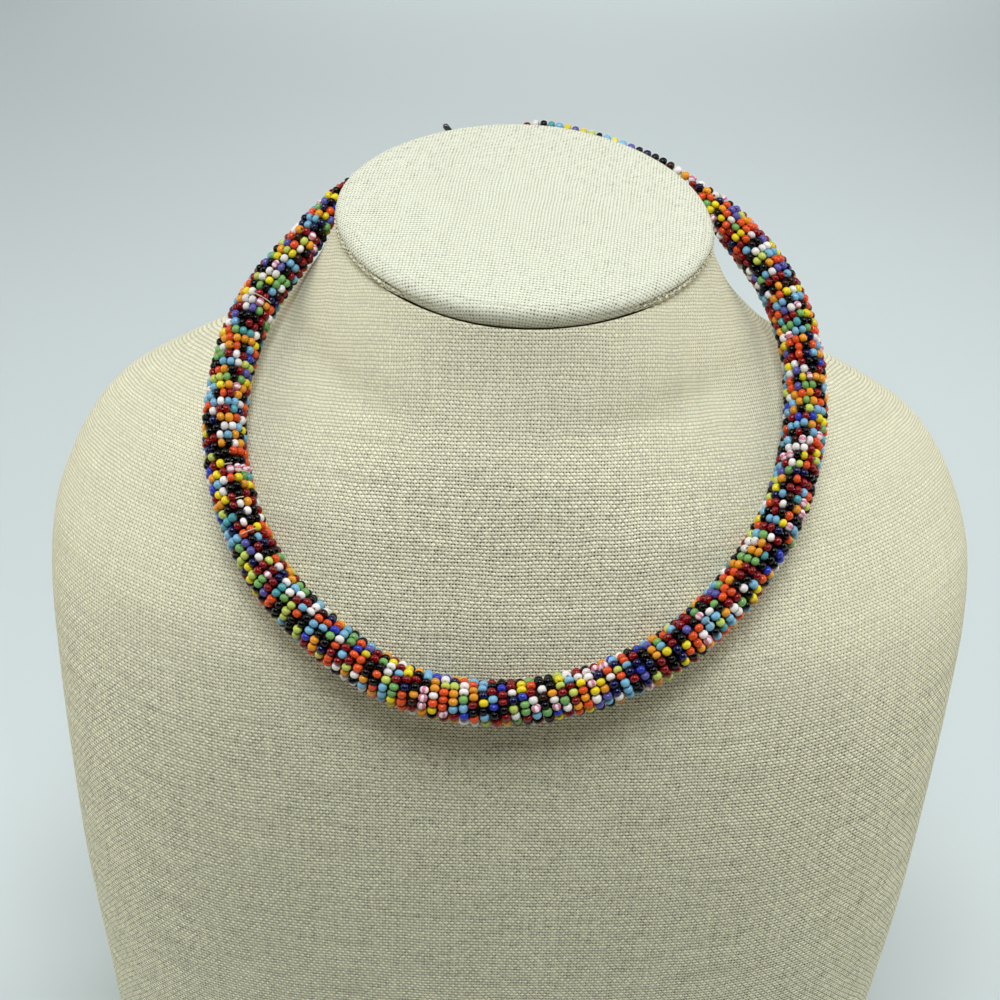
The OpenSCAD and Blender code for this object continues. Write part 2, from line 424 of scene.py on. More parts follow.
    def threads(self, tree: bpy.types.NodeTree, places: dict[str, bpy.types.NodeSocket]
                ) -> tuple[dict[str, bpy.types.NodeSocket], dict[int, bpy.types.NodeSocket]]:
        """The threads, each round across and raised where it passes over the other kind.

        Args:
            tree: the material's tree
            places: where each point lies across each kind of thread, in threads

        Returns: how far each point is from the parting of two threads, for each kind, and the
            heights of the warp and of the weft
        """
        wave, size, heights = {}, {}, {}
        for thread, place in places.items():
            turn = add(tree, MATH, {0: place, 1: math.pi}, operation="MULTIPLY")
            wave[thread] = add(tree, MATH, {0: turn}, operation="SINE")
            size[thread] = add(tree, MATH, {0: wave[thread]}, operation="ABSOLUTE")
        for number, (thread, other, crimp) in enumerate((
                ("warp", "weft", self.crimp), ("weft", "warp", -self.crimp))):
            bulge = add(tree, MATH, {0: size[thread], 1: self.roundness}, operation="POWER")
            sign = add(tree, MATH, {0: wave[thread]}, operation="SIGN")
            over = add(tree, MATH, {0: sign, 1: wave[other]}, operation="MULTIPLY")
            heights[number] = add(tree, MATH, {0: over, 1: crimp, 2: bulge},
                                  operation="MULTIPLY_ADD")
        return size, heights

    def gap(self, tree: bpy.types.NodeTree, place: bpy.types.NodeSocket,
            strayed: bpy.types.NodeSocket, tight: bpy.types.NodeSocket,
            size: dict[str, bpy.types.NodeSocket]) -> bpy.types.NodeSocket:
        """The holes, which lie where two threads of each kind part.

        They differ in size from hole to hole, and over a few threads. The material fills them with a
        painted dark shade.

        Args:
            tree: the material's tree
            place: the weave coordinates
            strayed: the same, where the threads really run
            tight: how tightly the cloth is drawn
            size: how far each point is from the parting of two threads, for each kind

        Returns: 1 in a hole and 0 on a thread
        """
        loose = add(tree, NOISE, {"Vector": place, "Scale": self.hole_scale, "Detail": 1.0})
        spread = add(tree, RANGE, {"Value": loose, "From Min": 0.3, "From Max": 0.7,
                                   "To Min": 1.0 + self.hole_drift,
                                   "To Max": 1.0 - self.hole_drift})
        shut = self.by_cell(tree, strayed, 0.5, 1.0 - self.hole_spread / 3,
                            1.0 + self.hole_spread)
        spread = add(tree, MATH, {0: spread, 1: shut}, operation="MULTIPLY")
        spread = add(tree, MIX, {0: tight, 2: spread, 3: 1.0})
        narrow = add(tree, MATH, {0: tight, 1: self.tightening, 2: 1.0},
                     operation="MULTIPLY_ADD")
        from_warp = add(tree, MATH, {0: size["between"],
                                     1: 1 / math.sin(math.pi * self.hole_width)},
                        operation="MULTIPLY")
        from_warp = add(tree, MATH, {0: from_warp, 1: narrow}, operation="MULTIPLY")
        from_weft = add(tree, MATH, {0: size["weft"],
                                     1: 1 / math.sin(math.pi * self.hole_height)},
                        operation="MULTIPLY")
        apart = add(tree, "ShaderNodeCombineXYZ", {0: from_warp, 1: from_weft})
        apart = add(tree, VECTOR_MATH, {0: apart}, out="Value", operation="LENGTH")
        apart = add(tree, MATH, {0: apart, 1: spread}, operation="MULTIPLY")
        return add(tree, RANGE, {"Value": apart, "From Min": self.hole_edge, "From Max": 1.0,
                                 "To Min": 1.0, "To Max": 0.0}, interpolation_type="SMOOTHSTEP")

    def by_cell(self, tree: bpy.types.NodeTree, place: bpy.types.NodeSocket, offset: float,
                low: float, high: float) -> bpy.types.NodeSocket:
        """A value that is the same all over each crossing or each hole, by chance.

        Args:
            tree: the material's tree
            place: the weave coordinates
            offset: 0 for the crossings, which lie between whole numbers, and 0.5 for the holes
            low: the lowest value
            high: the highest value

        Returns: the value
        """
        moved = add(tree, VECTOR_MATH, {0: place, 1: (offset, offset, 0.0)}, operation="ADD")
        cell = add(tree, VECTOR_MATH, {0: moved}, operation="FLOOR")
        chance = add(tree, "ShaderNodeTexWhiteNoise", {"Vector": cell}, noise_dimensions="2D")
        return add(tree, RANGE, {"Value": chance, "To Min": low, "To Max": high})

    def thread_tone(self, tree: bpy.types.NodeTree, place: bpy.types.NodeSocket,
                    stretch: tuple[float, float, float]) -> bpy.types.NodeSocket:
        """How light each thread is, round 1.

        Args:
            tree: the material's tree
            place: the weave coordinates
            stretch: noise cells per thread across and along

        Returns: the tone
        """
        cells = add(tree, VECTOR_MATH, {0: place, 1: stretch}, operation="MULTIPLY")
        noise = add(tree, NOISE, {"Vector": cells, "Scale": 1.0, "Detail": 1.0})
        return add(tree, RANGE, {"Value": noise, "From Min": 0.25, "From Max": 0.75,
                                 "To Min": 1 - self.unevenness, "To Max": 1 + self.unevenness})


class Glass(Enum):
    """The kinds of glass that the seed beads are made of."""

    JET = "jet"
    OPAQUE = "opaque"
    CLEAR = "clear"
    STRIPED = "striped"
    LUSTRE = "lustre"


@dataclass(frozen=True)
class BeadGlass:
    """Drawn and tumbled seed-bead glass: smooth and glossy, with small uneven highlights."""

    name: str
    colour: str
    share: float
    kind: Glass = Glass.OPAQUE
    second: str = "#FFFFFF"
    palest: float = 1.1
    deepest: float = 0.84
    lump: float = 1 / 700
    lump_height: float = 0.00005

    def material(self) -> bpy.types.Material:
        """Builds the glass. Each bead has its own depth of colour, from its attribute.

        Returns: the material
        """
        material, tree = new_material(f"{self.name}_bead_glass")
        tone = add(tree, "ShaderNodeAttribute", out="Fac", attribute_name="tone")
        value = add(tree, RANGE, {"Value": tone, "To Min": self.deepest, "To Max": self.palest})
        if self.kind is Glass.STRIPED:
            stripe = add(tree, "ShaderNodeAttribute", out="Fac", attribute_name="stripe")
            edge = add(tree, RANGE, {"Value": stripe, "From Min": -0.1, "From Max": 0.1})
            base = add(tree, MIX, {0: edge, 6: linear(self.colour), 7: linear(self.second)},
                       **COLOURS)
        else:
            base = linear(self.colour)
        colour = add(tree, "ShaderNodeHueSaturation", {"Color": base, "Value": value})
        place = add(tree, "ShaderNodeTexCoord", out="Object")
        # Tumbled glass is a little uneven over about 1.5 mm, which bends the highlights
        uneven = add(tree, NOISE, {"Vector": place, "Scale": 1 / self.lump, "Detail": 0.0})
        bump = add(tree, "ShaderNodeBump", {"Height": uneven, "Distance": self.lump_height,
                                            "Strength": 0.3})
        finish_material(tree, {"Base Color": colour, "Normal": bump, **self.optics()})
        return material

    def optics(self) -> dict:
        """The shader's values that are the same all over this kind of glass."""
        opaque = {"Roughness": 0.08, "IOR": 1.48, "Subsurface Weight": 0.05,
                  "Subsurface Scale": 0.0004}
        return {
            Glass.JET: {"Roughness": 0.05, "IOR": 1.48, "Specular IOR Level": 0.3},
            Glass.OPAQUE: opaque,
            Glass.STRIPED: opaque,
            Glass.CLEAR: {"Roughness": 0.06, "IOR": 1.48, "Transmission Weight": 0.3},
            Glass.LUSTRE: {"Roughness": 0.2, "Metallic": 0.6},
        }[self.kind]


BEAD_GLASSES = (
    BeadGlass("black", "#020203", 0.2, Glass.JET),
    BeadGlass("ruby", "#960812", 0.17, Glass.CLEAR),
    BeadGlass("cobalt", "#0A1050", 0.045, Glass.CLEAR),
    BeadGlass("royal_blue", "#2B3CB8", 0.02),
    BeadGlass("violet_blue", "#5C58A8", 0.03),
    BeadGlass("sky", "#7AB6D6", 0.09),
    BeadGlass("teal", "#4FA3AC", 0.015),
    BeadGlass("white", "#F2EEEA", 0.12),
    BeadGlass("yellow", "#F0DA18", 0.07),
    BeadGlass("orange", "#E4501A", 0.11),
    BeadGlass("amber", "#EC9C24", 0.105),
    BeadGlass("green", "#76AE60", 0.045),
    BeadGlass("pink_striped", "#DC7C9C", 0.03, Glass.STRIPED, "#F8ECEC"),
    BeadGlass("brown_lustre", "#3A2018", 0.012, Glass.LUSTRE),
    BeadGlass("pale_yellow", "#C4D25E", 0.035),
)


# The single beads that show behind the neck, from the ring on
RING_STRING = (
    "amber", "ruby", "white", "black", "teal", "sky", "yellow", "violet_blue", "yellow",
    "pale_yellow", "black", "sky", "yellow", "sky", "violet_blue", "black", "cobalt", "black",
    "black", "brown_lustre", "white", "amber", "pink_striped", "ruby",
)


@dataclass(frozen=True)
class PlainFinish:
    """A finish with one colour that varies a little over a real distance."""

    name: str
    light: str
    dark: str
    patch: float
    roughness: float
    metallic: float = 0.0
    grain: float = 0.0

    def material(self) -> bpy.types.Material:
        """Builds the finish from its colours, the size of its patches and its grain.

        Returns: the material
        """
        material, tree = new_material(self.name)
        place = add(tree, "ShaderNodeTexCoord", out="Object")
        noise = add(tree, NOISE, {"Vector": place, "Scale": 1 / self.patch, "Detail": 3.0})
        colour = add(tree, MIX, {0: noise, 6: linear(self.dark), 7: linear(self.light)},
                     **COLOURS)
        bump = add(tree, "ShaderNodeBump", {"Height": noise, "Distance": self.grain})
        finish_material(tree, {"Base Color": colour, "Roughness": self.roughness,
                               "Metallic": self.metallic, "Normal": bump})
        return material


# Brass plated dark, as on small jewellery clasps: satin, with brighter worn spots
GUNMETAL = PlainFinish("gunmetal_plate", "#7B7B7E", "#3E3E42", 0.0011, 0.32, 1.0, 0.00002)
# Twisted cotton cord, which shows only deep between the beads; its near-black colour is painted shade for
# those deep gaps
SHADE_DARK_CORD = PlainFinish("cotton_cord_painted_shade", "#14110F", "#070605", 0.0008, 0.95, 0.0, 0.0002)
# Waxed polyester beading thread
BEADING_THREAD = PlainFinish("waxed_beading_thread", "#E8E0BC", "#C9BF96", 0.0005, 0.55, 0.0,
                             0.00004)


@dataclass(frozen=True)
class SweepPaper:
    """Pale matt background paper, plain and smooth, a little warmer in front of the bust, with a pool of
    light painted on it behind the bust.
    """

    name: str = "pale_matt_paper"
    pale: str = "#D7E2E3"
    shade: str = "#C4B79F"
    pale_from: float = -0.12
    shade_from: float = -0.45
    # A pool of light painted on the paper round this point, out to its reach; bright and dull are the
    # tone's factors at its middle and beyond
    painted_light_at: tuple[float, float, float] = (0.1, 0.6, 0.0)
    painted_light_reach: float = 0.55
    bright: float = 1.13
    dull: float = 0.955
    cloud: float = 0.4
    cloudiness: float = 0.03

    def material(self) -> bpy.types.Material:
        """Builds the paper: its tone changes along Y and a little from place to place, and a pool of light
        is painted on it round a point behind the bust.

        Returns: the material
        """
        material, tree = new_material(self.name)
        place = add(tree, "ShaderNodeTexCoord", out="Object")
        behind = add(tree, "ShaderNodeSeparateXYZ", {0: place}, out="Y")
        fade = add(tree, RANGE, {"Value": behind, "From Min": self.shade_from,
                                 "From Max": self.pale_from}, interpolation_type="SMOOTHSTEP")
        colour = add(tree, MIX, {0: fade, 6: linear(self.shade), 7: linear(self.pale)}, **COLOURS)
        clouds = add(tree, NOISE, {"Vector": place, "Scale": 1 / self.cloud})
        value = add(tree, RANGE, {"Value": clouds, "To Min": 1 - self.cloudiness,
                                  "To Max": 1 + self.cloudiness})
        # Painted light: the paper is brightest round a point behind the bust and a little darker beyond
        reach = add(tree, VECTOR_MATH, {0: place, 1: self.painted_light_at}, out="Value",
                    operation="DISTANCE")
        patch = add(tree, RANGE, {"Value": reach, "From Max": self.painted_light_reach,
                                  "To Min": self.bright, "To Max": self.dull},
                    interpolation_type="SMOOTHSTEP")
        value = add(tree, MATH, {0: value, 1: patch}, operation="MULTIPLY")
        colour = add(tree, "ShaderNodeHueSaturation", {"Color": colour, "Value": value})
        finish_material(tree, {"Base Color": colour, "Roughness": 0.95,
                               "Specular IOR Level": 0.1})
        return material


@dataclass
class NeckBust:
    """The display bust under its linen: shoulders, neck and padded cap."""

    cap_tilt: float = math.radians(10)
    neck_top: float = 0.2715
    cap_w: float = 0.089
    cap_depth: float = 0.0815
    cap_square: float = 1.9
    cap_turn: float = math.radians(9)
    cap_weave_turn: float = math.radians(4)
    seam_gap: float = 0.0002
    body_sides: int = 168
    body_steps: int = 8
    cap_sides: int = 144
    cap_steps: int = 6
    warp_heights: tuple[float, ...] = (0.0, 0.1, 0.2, 0.26)
    warp_pitches: tuple[float, ...] = (0.00063, 0.00066, 0.00072, 0.00074)
    weft_heights: tuple[float, ...] = (0.14, 0.2, 0.25)
    weft_pitches: tuple[float, ...] = (0.00083, 0.0008, 0.00085)
    lean_heights: tuple[float, ...] = (0.225, 0.255)
    leans: tuple[float, ...] = (0.27, 0.45)
    skew: float = -0.04
    beyond: float = 0.1
    side_rise: float = 2.8
    rise_from: float = 0.055
    tight_across: tuple[float, float] = (0.3, 0.75)
    tight_heights: tuple[float, float] = (0.17, 0.2)
    tight_sides: float = 0.75
    neck_heights: tuple[float, float] = (0.232, 0.25)
    tight_neck: float = 0.45
    spread_reach: tuple[float, ...] = (0.05, 0.09)
    spread_heights: tuple[float, ...] = (0.2, 0.235)
    spreads: tuple[float, ...] = (0.4, 0.1)
    cap_warp_pitch: float = 0.00076
    cap_weft_pitch: float = 0.0008
    hem_height: float = 0.0019
    hem_lip: float = 0.0022
    hem_recess: float = 0.0006
    hem_fold: float = 0.0021
    hem_crease: float = 0.00028
    hem_slant: float = 1.5
    hem_out: float = 1.15
    hem_round: float = 0.6
    hem_hidden: float = 0.0012
    hem_points: int = 600
    hem_sides: int = 9
    hem_from: float = math.radians(24)
    hem_full: float = math.radians(48)
    body_linen: Linen = field(default_factory=Linen)
    # The cap's linen has a lighter painted shade in its holes and on its flanks than the body's, and a warp
    # nearly as light as its weft
    cap_linen: Linen = field(default_factory=lambda: Linen(
        weft="#E9EBD9", warp="#DEE1CB", flank_shade="#C4C4A8", hole="#64603A", hole_width=0.36,
        hole_height=0.38, hole_spread=0.3, lean=0.2, shading=0.12, unevenness=0.03, slubs=0.04,
        patchiness=0.02, relief=0.00008))

    @property
    def neck_back(self) -> float:
        """How far the middle of the neck's top lies behind the origin."""
        return (LEVELS[-1][2] + LEVELS[-1][3]) / 2

    def outline(self, rows: np.ndarray) -> np.ndarray:
        """The bust's outline at each of the given rows of the table of levels.

        Args:
            rows: rows of the table

        Returns: a ring of points for each row, from the middle of the back round
        """
        height, half, front, back, square, side, follow = (column[:, None] for column in rows.T)
        middle, deep = (front + back) / 2, (back - front) / 2
        angle = np.linspace(0, 2 * math.pi, self.body_sides, endpoint=False)[None] + math.pi / 2
        x = signed_power(np.cos(angle), 2 / square)
        y = middle + deep * signed_power(np.sin(angle), 2 / square) + (side - middle) * x ** 2
        x, y = turned(half * x, y - self.neck_back, -follow * self.cap_turn)
        return np.stack([x, self.neck_back + y, height + follow * y * math.tan(self.cap_tilt)], -1)

    def build_body(self, material: bpy.types.Material) -> None:
        """Makes the body's cloth, with the weave's place at each corner of each face."""
        places = np.linspace(0, len(LEVELS) - 1, (len(LEVELS) - 1) * self.body_steps + 1)
        rings = self.outline(read_rows(LEVELS, places))
        count, sides = rings.shape[:2]
        looped = np.concatenate([rings, rings[:, :1]], 1)
        steps = np.linalg.norm(np.diff(looped, axis=1), axis=2)
        reach = np.cumsum(steps, axis=1) - steps[:, :sides // 2].sum(1, keepdims=True)
        # The warp is set by its own spacing at each height, and is drawn wider at the sides
        spread = np.interp(np.abs(reach), self.spread_reach, (0.0, 1.0))
        spread *= np.interp(looped[:, 1:, 2], self.spread_heights, self.spreads)
        warp_spacing = np.interp(looped[:, 1:, 2], self.warp_heights, self.warp_pitches)
        across = np.cumsum(steps / (warp_spacing * (1 + spread)), axis=1)
        across = np.concatenate([np.zeros((count, 1)), across], 1)
        front = slice(sides // 4, 3 * sides // 4)
        across -= np.array([[np.interp(0.0, x, threads)] for x, threads in zip(
            looped[:, front, 0], across[:, front])])
        # Each weft thread lies in a plane that sinks towards the back, more so on the neck, and
        # rises a little round the sides
        height = looped[..., 2]
        plane = height + looped[..., 1] * np.interp(height, self.lean_heights, self.leans)
        plane -= self.side_rise * np.maximum(np.abs(looped[..., 0]) - self.rise_from, 0) ** 2
        middle = looped[:, sides // 2]
        spacing = np.interp(middle[:, 2], self.weft_heights, self.weft_pitches)
        reach = steps_along(middle)
        threads = np.concatenate([[0.0], np.cumsum(np.diff(reach) / spacing[1:])])
        # The cloth at the sides goes on beyond the middle's lowest and highest threads
        known = np.concatenate([plane[:1, sides // 2] - self.beyond, plane[:, sides // 2],
                                plane[-1:, sides // 2] + self.beyond])
        threads = np.concatenate([[-self.beyond / spacing[0]], threads,
                                  [threads[-1] + self.beyond / spacing[-1]]])
        along = np.interp(plane, known, threads) + self.skew * looped[..., 0] / spacing[0]
        ring = np.repeat(np.arange(count - 1), sides)
        side = np.tile(np.arange(sides), count - 1)
        corners = np.stack([
            np.stack([across[ring + r, side + s], along[ring + r, side + s],
                      np.zeros(len(ring))], -1)
            for r, s in ((0, 0), (0, 1), (1, 1), (1, 0))
        ], 1)
        piece = new_piece("bust_linen", rings.reshape(-1, 3), closed_faces(count, sides), material)
        flat = np.zeros((2 * sides, 3))
        put_attribute(piece, "weave", "FLOAT_VECTOR", "CORNER",
                      np.concatenate([corners.reshape(-1, 3), flat]))
        put_attribute(piece, "tight", "FLOAT", "POINT", self.tightness(
            np.abs(rings[..., 0]) / read_rows(LEVELS, places)[:, 1, None], rings[..., 2]))
        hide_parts("bust_body")

    def tightness(self, aside: np.ndarray, height: np.ndarray) -> np.ndarray:
        """How tightly the cloth is drawn: most over the shoulders, and less round the neck.

        Args:
            aside: distance from the middle, as a share of the bust's half width there
            height: height above the base

        Returns: 0 where the cloth lies loose, up to 1
        """
        side = self.tight_sides * np.interp(aside, self.tight_across, (0.0, 1.0))
        side *= np.interp(height, self.tight_heights, (0.0, 1.0))
        neck = np.interp(height, self.neck_heights, (0.0, self.tight_neck))
        return 1 - (1 - side) * (1 - neck)

    def cap_outline(self, sides: int) -> tuple[np.ndarray, np.ndarray]:
        """The widest outline of the cap, in its own plane, from the right round by the back."""
        angle = np.linspace(0, 2 * math.pi, sides, endpoint=False)
        power = 2 / self.cap_square
        return turned(self.cap_w / 2 * signed_power(np.cos(angle), power),
                      self.cap_depth / 2 * signed_power(np.sin(angle), power), -self.cap_turn)

    def on_cap(self, x: np.ndarray, y: np.ndarray, height: np.ndarray) -> np.ndarray:
        """Moves points from the cap's sloping plane to the model's frame."""
        y, z = turned(y, height + self.seam_gap, self.cap_tilt)
        return np.stack(np.broadcast_arrays(x, self.neck_back + y, self.neck_top + z), -1)

    def build_cap(self, material: bpy.types.Material) -> None:
        """Makes the padded oval cap, whose weave lies turned against the body's."""
        places = np.linspace(0, len(PAD) - 1, (len(PAD) - 1) * self.cap_steps + 1)
        share, height = read_rows(PAD, places).T
        x, y = self.cap_outline(self.cap_sides)
        # Over the rim the cloth goes on down, so the weave's place goes on outwards
        reach = steps_along(np.stack([share * self.cap_w / 2, height], -1))
        reach = (reach[-1] - reach) / (self.cap_w / 2) + share[-1]
        weave_x, weave_y = turned(reach[:, None] * x, reach[:, None] * y, self.cap_weave_turn)
        weave = np.stack([weave_x / self.cap_warp_pitch, weave_y / self.cap_weft_pitch,
                          np.zeros_like(weave_x)], -1)
        tuck = self.hem_recess * self.hem_share(x, y) * (height < self.hem_lip)[:, None]
        tuck = share[:, None] * (1 - tuck / np.hypot(x, y))
        points = self.on_cap(tuck * x, tuck * y, height[:, None])
        piece = new_piece("cap_linen", points.reshape(-1, 3),
                          closed_faces(len(share), self.cap_sides), material)
        put_attribute(piece, "weave", "FLOAT_VECTOR", "POINT", weave.reshape(-1, 3))
        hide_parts("neck_cap")

    def hem_share(self, x: np.ndarray, y: np.ndarray) -> np.ndarray:
        """How far the hem has come out at points of the cap's outline: 0 at the chest side."""
        return np.interp(np.abs(np.arctan2(x, -y)), (self.hem_from, self.hem_full), (0.0, 1.0))

    def build_hem(self, material: bpy.types.Material) -> None:
        """Makes the rolled hem that lies in the tuck below the cap's rim, with slanting folds."""
        x, y = self.cap_outline(self.hem_points)
        out_x, out_y = np.roll(y, -1) - np.roll(y, 1), np.roll(x, 1) - np.roll(x, -1)
        size = np.hypot(out_x, out_y)
        full = self.hem_share(x, y)[:, None]
        angle = np.linspace(-0.5 * math.pi, 0.5 * math.pi, self.hem_sides)[None]
        reach = steps_along(np.stack([x, y], -1))[:, None]
        folds = self.hem_crease * np.sin(2 * math.pi * reach / self.hem_fold
                                         + self.hem_slant * angle)
        out = self.hem_recess * (self.hem_out * np.cos(angle) ** self.hem_round - 1)
        out = (out + folds * np.cos(angle)) * full - self.hem_hidden * (1 - full)
        out = np.concatenate([out, np.full_like(full, -self.hem_hidden)], 1)
        up = self.hem_height * np.concatenate([(1 + np.sin(angle[0])) / 2, [0.5]])[None]
        rings = self.on_cap(x[:, None] + out * (out_x / size)[:, None],
                            y[:, None] + out * (out_y / size)[:, None], up)
        count, sides = rings.shape[:2]
        faces = ring_faces(count + 1, sides) % (count * sides)
        piece = new_piece("cap_hem", rings.reshape(-1, 3), faces.tolist(), material)
        weave = np.stack(np.broadcast_arrays(reach / self.cap_warp_pitch,
                                             up / self.cap_weft_pitch, 0.0), -1)
        put_attribute(piece, "weave", "FLOAT_VECTOR", "POINT", weave.reshape(-1, 3))
        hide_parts("neck_cap")

    def build(self) -> None:
        """Builds the body's and the cap's cloth."""
        body = self.body_linen.material("natural_linen")
        cap = self.cap_linen.material("cap_linen")
        self.build_body(body)
        self.build_cap(cap)
        self.build_hem(body)


@dataclass
class BeadCollar:
    """The rope of wound seed beads, its single strands, its core and its thread."""

    shift: float = 0.001
    nape_y: float = 0.066
    nape_z: float = 0.282
    tilt: float = math.radians(35)
    rope_d: float = 0.0106
    bead_d: float = 0.00213
    bead_square: float = 2.2
    turn_pitch: float = 0.00219
    bead_len: float = 0.00171
    bead_hole: float = 0.0007
    bead_gap: float = 0.00001
    strand_bead: float = 1.14
    strand_gap: float = 0.00022
    thread_d: float = 0.0003
    clasp_at: tuple[float, float] = (-0.023, -0.007)
    clasp_turn: float = math.radians(12)
    ring_wire: float = 0.001
    ring_side: tuple[float, float, float] = (0.01505, 0.0, -0.0023)
    eye_wire: float = 0.0009
    eye_side: tuple[float, float, float] = (-0.0012, 0.0, -0.0009)
    around: int = 13
    profile: int = 11
    route_points: int = 9000
    strand_below: float = 0.0003
    most_beads: int = 4000
    length_spread: float = 0.07
    length_range: tuple[float, float] = (0.84, 1.16)
    width_spread: float = 0.035
    width_range: tuple[float, float] = (0.92, 1.07)
    askew: float = 0.09
    lift: float = 0.00009
    waver: float = 0.00016
    waver_lengths: tuple[float, ...] = (0.0009, 0.0021, 0.0043)
    repeats: float = 0.12
    core_depth: float = 0.42
    core_least: float = 0.0003
    core_every: int = 30
    core_sides: int = 14
    thread_sides: int = 5
    lashing_sides: int = 7
    lashing_turns: int = 3
    lashing_points: int = 60
    lashing_half: float = 0.00045
    lashing_gap: float = 0.00004
    bare_points: int = 12
    bare_share: float = 0.4

    def in_plane(self, points: np.ndarray) -> np.ndarray:
        """Moves points from the collar's own plane to the model's frame."""
        cos, sin = math.cos(self.tilt), math.sin(self.tilt)
        x, y, z = points[..., 0], points[..., 1], points[..., 2]
        return np.stack([x + self.shift, self.nape_y + y * cos - z * sin,
                         self.nape_z + y * sin + z * cos], -1)

    def in_clasp(self, points: np.ndarray) -> np.ndarray:
        """Moves points from the clasp's own frame to the model's frame."""
        cos, sin = math.cos(self.clasp_turn), math.sin(self.clasp_turn)
        x, y, z = points[..., 0], points[..., 1], points[..., 2]
        return self.in_plane(np.stack([self.clasp_at[0] + x * cos - y * sin,
                                       self.clasp_at[1] + x * sin + y * cos, z], -1))

    def wind(self) -> dict[str, np.ndarray]:
        """Follows the strand along the route: straight at the ends, wound round the core between.

        Where the rope is thin the turns are steep, and a turn takes one bead's width measured
        across the strand.

        Returns: the strand's points, its outward directions, the route and the rope's radii
        """
        places = np.linspace(0, len(ROUTE) - 1, self.route_points)
        rows = read_rows(ROUTE, places)
        route = self.in_plane(rows[:, :3])
        reach = steps_along(route)
        first, last = np.interp([ROPE_FIRST, ROPE_LAST], places, reach)
        radius = (self.rope_d - self.bead_d) / 2 * np.maximum(rows[:, 3], 0)
        turn_len = 2 * math.pi * np.maximum(radius, 1e-6)
        rate = 2 * math.pi * np.sqrt(np.maximum(0, 1 / self.turn_pitch ** 2 - 1 / turn_len ** 2))
        wound = np.concatenate([[0], np.cumsum((rate[1:] + rate[:-1]) / 2 * np.diff(reach))])
        step = unit(np.gradient(route, axis=0))
        across = unit(np.cross(np.array([0.0, 0.0, 1.0]), step))
        above = np.cross(step, across)
        outward = np.cos(wound)[:, None] * across + np.sin(wound)[:, None] * above
        strand = route + radius[:, None] * outward
        return {"places": places, "route": route, "reach": reach, "radius": radius,
                "across": across, "above": above, "outward": outward, "strand": strand,
                "first": first, "last": last}

    def bead_mesh(self) -> tuple[np.ndarray, np.ndarray, np.ndarray]:
        """One seed bead, its hole along Z: a short barrel with well rounded shoulders.

        Returns: points, quads and the stripe value at each point
        """
        outer, power = self.bead_d / 2, 2 / self.bead_square
        edge = math.acos((self.bead_hole / self.bead_d) ** (1 / power))
        t = np.linspace(-edge, edge, self.profile - 3)
        reach = np.concatenate([outer * np.cos(t) ** power,
                                np.array([0.9, 0.85, 0.9]) * self.bead_hole / 2])
        height = self.bead_len / 2 * np.concatenate([
            signed_power(np.sin(t) / math.sin(edge), power), [0.6, 0.0, -0.6]])
        angle = np.linspace(0, 2 * math.pi, self.around, endpoint=False)[:, None]
        points = np.stack([reach * np.cos(angle), reach * np.sin(angle),
                           np.broadcast_to(height, (self.around, self.profile))], -1)
        j, i = np.meshgrid(np.arange(self.around), np.arange(self.profile), indexing="ij")
        j_next, i_next = (j + 1) % self.around, (i + 1) % self.profile
        quads = np.stack([j * self.profile + i, j_next * self.profile + i,
                          j_next * self.profile + i_next, j * self.profile + i_next], -1)
        stripe = np.broadcast_to(np.cos(4 * angle), (self.around, self.profile))
        return points.reshape(-1, 3), quads.reshape(-1, 4), stripe.ravel()

    def place_beads(self, winding: dict, rng: np.random.Generator) -> dict[str, np.ndarray]:
        """Threads the beads one after the other along the strand.

        Args:
            winding: what wind returned
            rng: the source of every random number here

        Returns: the beads' centres, axes, outward directions and sizes
        """
        travelled = steps_along(winding["strand"])
        lengths = np.clip(rng.normal(1, self.length_spread, self.most_beads), *self.length_range)
        single = winding["radius"] < self.strand_below
        places, at = [], 0.0
        for number, length in enumerate(lengths):
            alone = np.interp(at, travelled, single.astype(float)) > 0.5
            if alone:
                length = lengths[number] = length * self.strand_bead
            half = length * self.bead_len / 2
            gap = self.strand_gap if alone else self.bead_gap
            centre = at + gap / 2 + half
            if centre + half > travelled[-1]:
                break
            places.append(centre)
            at = centre + half + gap / 2
        places = np.array(places)
        centre = read_at(places, travelled, winding["strand"])
        outward = unit(read_at(places, travelled, winding["outward"]))
        axis = unit(read_at(places, travelled, np.gradient(winding["strand"], axis=0)))
        count = len(places)
        # Beads sit a little askew, and each turn wavers round its place
        waver = sum(np.sin(places / length + rng.uniform(0, 2 * math.pi, 3)[k])
                    for k, length in enumerate(self.waver_lengths)) / 3
        sideways = unit(np.cross(axis, outward))
        axis = unit(axis + outward * rng.normal(0, self.askew, (count, 1))
                    + sideways * rng.normal(0, self.askew, (count, 1)))
        loose = np.interp(places, travelled, ~single)[:, None]
        width = np.clip(rng.normal(1, self.width_spread, count), *self.width_range)
        width *= np.where(loose[:, 0] < 0.5, self.strand_bead, 1.0)
        size = np.stack([width, width, lengths[:count]], -1)
        centre = centre + loose * (outward * rng.normal(0, self.lift, (count, 1)) + sideways * (
            self.waver * waver[:, None] + rng.normal(0, self.lift, (count, 1))))
        outward = unit(outward - axis * (outward * axis).sum(1, keepdims=True))
        return {"centre": centre, "axis": axis, "outward": outward, "size": size}

    def choose_glass(self, count: int, rng: np.random.Generator) -> np.ndarray:
        """The glass of each bead, as mixed beads are strung: by chance, with a few repeats."""
        shares = np.array([glass.share for glass in BEAD_GLASSES])
        chosen = rng.choice(len(BEAD_GLASSES), count, p=shares / shares.sum())
        again = rng.random(count) < self.repeats
        for k in range(1, count):
            if again[k]:
                chosen[k] = chosen[k - 1]
        names = [glass.name for glass in BEAD_GLASSES]
        chosen[:len(RING_STRING)] = [names.index(name) for name in RING_STRING]
        return chosen

